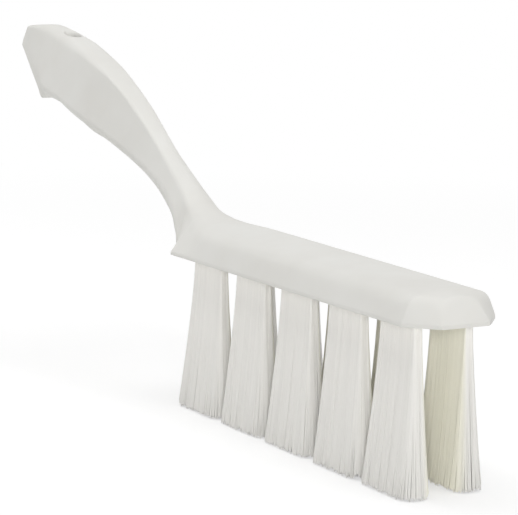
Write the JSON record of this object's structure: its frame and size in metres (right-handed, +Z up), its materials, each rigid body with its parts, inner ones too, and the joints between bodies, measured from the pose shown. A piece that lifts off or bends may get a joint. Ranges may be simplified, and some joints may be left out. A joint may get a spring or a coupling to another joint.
{
  "type": "dusting brush",
  "caption": "One-hand bench and dusting brush: a straight moulded block with two rows of flat bristle fans, rising into a curved, faceted handle with a hanging hole.",
  "frame": {"origin": "middle of the whole brush's bounding box in plan, on the plane of the bristle tips", "axes": "+X along the brush towards the block's free end, +Y across to the far row of bristles, +Z up from the bristle tips to the handle"},
  "size_m": [0.331, 0.036, 0.1329],
  "materials": {
    "white_polypropylene": "white moulded polypropylene, satin",
    "white_bristle": "white polyester filament, fused at the root"
  },
  "bodies": {
    "root": {"brush_body": "white_polypropylene", "tuft_near_1": "white_bristle", "tuft_near_2": "white_bristle", "tuft_near_3": "white_bristle", "tuft_near_4": "white_bristle", "tuft_near_5": "white_bristle", "tuft_far_1": "white_bristle", "tuft_far_2": "white_bristle", "tuft_far_3": "white_bristle", "tuft_far_4": "white_bristle", "tuft_far_5": "white_bristle"}
  },
  "joints": []
}
